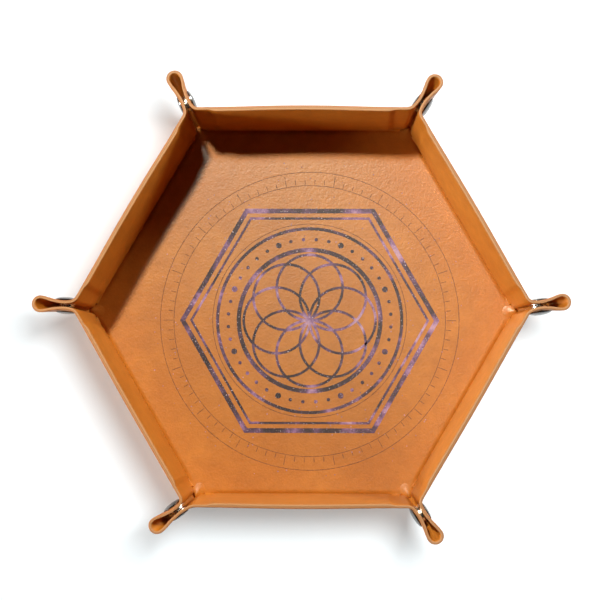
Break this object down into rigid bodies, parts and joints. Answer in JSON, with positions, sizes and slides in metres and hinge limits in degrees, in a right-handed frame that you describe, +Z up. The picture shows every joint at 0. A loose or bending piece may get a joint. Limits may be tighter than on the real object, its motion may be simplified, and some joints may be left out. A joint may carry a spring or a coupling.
{
  "type": "folding dice tray",
  "caption": "Hexagonal leather-covered dice tray with hinged walls and snap-button corner ears; unsnapped, it unfolds into one flat sheet.",
  "frame": {"origin": "middle of the underside of the floor", "axes": "+Z up; +X towards a corner of the hexagon, so that two walls run parallel to X"},
  "size_m": [0.2694, 0.2364, 0.0401],
  "materials": {
    "inner_leather": "printed tan leather with a fine grain, satin",
    "outer_leather": "tan leather with a fine grain, satin",
    "ear_leather": "tan leather, satin, with pale cut edges",
    "stiffener": "matt stiffener board",
    "cap_metal": "dark gunmetal plating, polished",
    "snap_metal": "nickel plating, satin"
  },
  "bodies": {
    "floor": {"floor_cover": "outer_leather", "floor_board": "stiffener", "floor_liner": "inner_leather"},
    "wall_1": {"wall_1_cover": "outer_leather", "wall_1_board": "stiffener", "wall_1_liner": "inner_leather"},
    "wall_2": {"wall_2_cover": "outer_leather", "wall_2_board": "stiffener", "wall_2_liner": "inner_leather"},
    "wall_3": {"wall_3_cover": "outer_leather", "wall_3_board": "stiffener", "wall_3_liner": "inner_leather"},
    "wall_4": {"wall_4_cover": "outer_leather", "wall_4_board": "stiffener", "wall_4_liner": "inner_leather"},
    "wall_5": {"wall_5_cover": "outer_leather", "wall_5_board": "stiffener", "wall_5_liner": "inner_leather"},
    "wall_6": {"wall_6_cover": "outer_leather", "wall_6_board": "stiffener", "wall_6_liner": "inner_leather"},
    "ear_1_socket_side": {"ear_1_socket_flank": "ear_leather", "snap_1_cap": "cap_metal", "snap_1_socket": "snap_metal"},
    "ear_1_stud_side": {"ear_1_stud_flank": "ear_leather", "snap_1_rivet": "cap_metal", "snap_1_stud": "snap_metal"},
    "ear_2_socket_side": {"ear_2_socket_flank": "ear_leather", "snap_2_cap": "cap_metal", "snap_2_socket": "snap_metal"},
    "ear_2_stud_side": {"ear_2_stud_flank": "ear_leather", "snap_2_rivet": "cap_metal", "snap_2_stud": "snap_metal"},
    "ear_3_socket_side": {"ear_3_socket_flank": "ear_leather", "snap_3_cap": "cap_metal", "snap_3_socket": "snap_metal"},
    "ear_3_stud_side": {"ear_3_stud_flank": "ear_leather", "snap_3_rivet": "cap_metal", "snap_3_stud": "snap_metal"},
    "ear_4_socket_side": {"ear_4_socket_flank": "ear_leather", "snap_4_cap": "cap_metal", "snap_4_socket": "snap_metal"},
    "ear_4_stud_side": {"ear_4_stud_flank": "ear_leather", "snap_4_rivet": "cap_metal", "snap_4_stud": "snap_metal"},
    "ear_5_socket_side": {"ear_5_socket_flank": "ear_leather", "snap_5_cap": "cap_metal", "snap_5_socket": "snap_metal"},
    "ear_5_stud_side": {"ear_5_stud_flank": "ear_leather", "snap_5_rivet": "cap_metal", "snap_5_stud": "snap_metal"},
    "ear_6_socket_side": {"ear_6_socket_flank": "ear_leather", "snap_6_cap": "cap_metal", "snap_6_socket": "snap_metal"},
    "ear_6_stud_side": {"ear_6_stud_flank": "ear_leather", "snap_6_rivet": "cap_metal", "snap_6_stud": "snap_metal"}
  },
  "joints": [
    {"name": "wall_1_fold", "type": "hinge", "parent": "floor", "child": "wall_1", "pos_m": [0.081, 0.04677, 0.0023], "axis": [-0.5, 0.866, 0], "range_deg": [0, 84]},
    {"name": "wall_2_fold", "type": "hinge", "parent": "floor", "child": "wall_2", "pos_m": [0, 0.09353, 0.0023], "axis": [-1, 0, 0], "range_deg": [0, 84]},
    {"name": "wall_3_fold", "type": "hinge", "parent": "floor", "child": "wall_3", "pos_m": [-0.081, 0.04677, 0.0023], "axis": [-0.5, -0.866, 0], "range_deg": [0, 84]},
    {"name": "wall_4_fold", "type": "hinge", "parent": "floor", "child": "wall_4", "pos_m": [-0.081, -0.04677, 0.0023], "axis": [0.5, -0.866, 0], "range_deg": [0, 84]},
    {"name": "wall_5_fold", "type": "hinge", "parent": "floor", "child": "wall_5", "pos_m": [0, -0.09353, 0.0023], "axis": [1, 0, 0], "range_deg": [0, 84]},
    {"name": "wall_6_fold", "type": "hinge", "parent": "floor", "child": "wall_6", "pos_m": [0.081, -0.04677, 0.0023], "axis": [0.5, 0.866, 0], "range_deg": [0, 84]},
    {"name": "ear_1_socket_fold", "type": "hinge", "parent": "wall_6", "child": "ear_1_socket_side", "pos_m": [0.10907, -0.00273, 0.00206], "axis": [0.1205, 0, 0.9927], "range_deg": [0, 52.19]},
    {"name": "ear_1_stud_fold", "type": "hinge", "parent": "wall_1", "child": "ear_1_stud_side", "pos_m": [0.10907, 0.00273, 0.00206], "axis": [-0.1205, 0, -0.9927], "range_deg": [0, 68.19]},
    {"name": "ear_2_socket_fold", "type": "hinge", "parent": "wall_1", "child": "ear_2_socket_side", "pos_m": [0.05688, 0.09311, 0.00206], "axis": [0.0602, 0.1043, 0.9927], "range_deg": [0, 64.19]},
    {"name": "ear_2_stud_fold", "type": "hinge", "parent": "wall_2", "child": "ear_2_stud_side", "pos_m": [0.0522, 0.09582, 0.00206], "axis": [-0.0602, -0.1043, -0.9927], "range_deg": [0, 56.19]},
    {"name": "ear_3_socket_fold", "type": "hinge", "parent": "wall_2", "child": "ear_3_socket_side", "pos_m": [-0.05219, 0.09582, 0.00206], "axis": [-0.0602, 0.1043, 0.9927], "range_deg": [0, 65.19]},
    {"name": "ear_3_stud_fold", "type": "hinge", "parent": "wall_3", "child": "ear_3_stud_side", "pos_m": [-0.05689, 0.09311, 0.00206], "axis": [0.0602, -0.1043, -0.9927], "range_deg": [0, 55.19]},
    {"name": "ear_4_socket_fold", "type": "hinge", "parent": "wall_3", "child": "ear_4_socket_side", "pos_m": [-0.10908, 0.0027, 0.00206], "axis": [-0.1205, 0, 0.9927], "range_deg": [0, 63.19]},
    {"name": "ear_4_stud_fold", "type": "hinge", "parent": "wall_4", "child": "ear_4_stud_side", "pos_m": [-0.10908, -0.0027, 0.00206], "axis": [0.1205, 0, -0.9927], "range_deg": [0, 57.19]},
    {"name": "ear_5_socket_fold", "type": "hinge", "parent": "wall_4", "child": "ear_5_socket_side", "pos_m": [-0.05703, -0.09286, 0.00206], "axis": [-0.0602, -0.1043, 0.9927], "range_deg": [0, 84.19]},
    {"name": "ear_5_stud_fold", "type": "hinge", "parent": "wall_5", "child": "ear_5_stud_side", "pos_m": [-0.05191, -0.09582, 0.00206], "axis": [0.0602, 0.1043, -0.9927], "range_deg": [0, 36.19]},
    {"name": "ear_6_socket_fold", "type": "hinge", "parent": "wall_5", "child": "ear_6_socket_side", "pos_m": [0.0522, -0.09582, 0.00206], "axis": [0.0602, -0.1043, 0.9927], "range_deg": [0, 58.19]},
    {"name": "ear_6_stud_fold", "type": "hinge", "parent": "wall_6", "child": "ear_6_stud_side", "pos_m": [0.05688, -0.09312, 0.00206], "axis": [-0.0602, 0.1043, -0.9927], "range_deg": [0, 62.19]}
  ],
  "couplings": [
    {"joint": "wall_2_fold", "follows": "wall_1_fold", "ratio": 1},
    {"joint": "wall_3_fold", "follows": "wall_1_fold", "ratio": 1},
    {"joint": "wall_4_fold", "follows": "wall_1_fold", "ratio": 1},
    {"joint": "wall_5_fold", "follows": "wall_1_fold", "ratio": 1},
    {"joint": "wall_6_fold", "follows": "wall_1_fold", "ratio": 1},
    {"joint": "ear_1_socket_fold", "follows": "wall_1_fold", "ratio": 0.6212},
    {"joint": "ear_1_stud_fold", "follows": "wall_1_fold", "ratio": 0.81168},
    {"joint": "ear_2_socket_fold", "follows": "wall_1_fold", "ratio": 0.76406},
    {"joint": "ear_2_stud_fold", "follows": "wall_1_fold", "ratio": 0.66882},
    {"joint": "ear_3_socket_fold", "follows": "wall_1_fold", "ratio": 0.77597},
    {"joint": "ear_3_stud_fold", "follows": "wall_1_fold", "ratio": 0.65692},
    {"joint": "ear_4_socket_fold", "follows": "wall_1_fold", "ratio": 0.75216},
    {"joint": "ear_4_stud_fold", "follows": "wall_1_fold", "ratio": 0.68073},
    {"joint": "ear_5_socket_fold", "follows": "wall_1_fold", "ratio": 1.0022},
    {"joint": "ear_5_stud_fold", "follows": "wall_1_fold", "ratio": 0.43073},
    {"joint": "ear_6_socket_fold", "follows": "wall_1_fold", "ratio": 0.69263},
    {"joint": "ear_6_stud_fold", "follows": "wall_1_fold", "ratio": 0.74025}
  ]
}
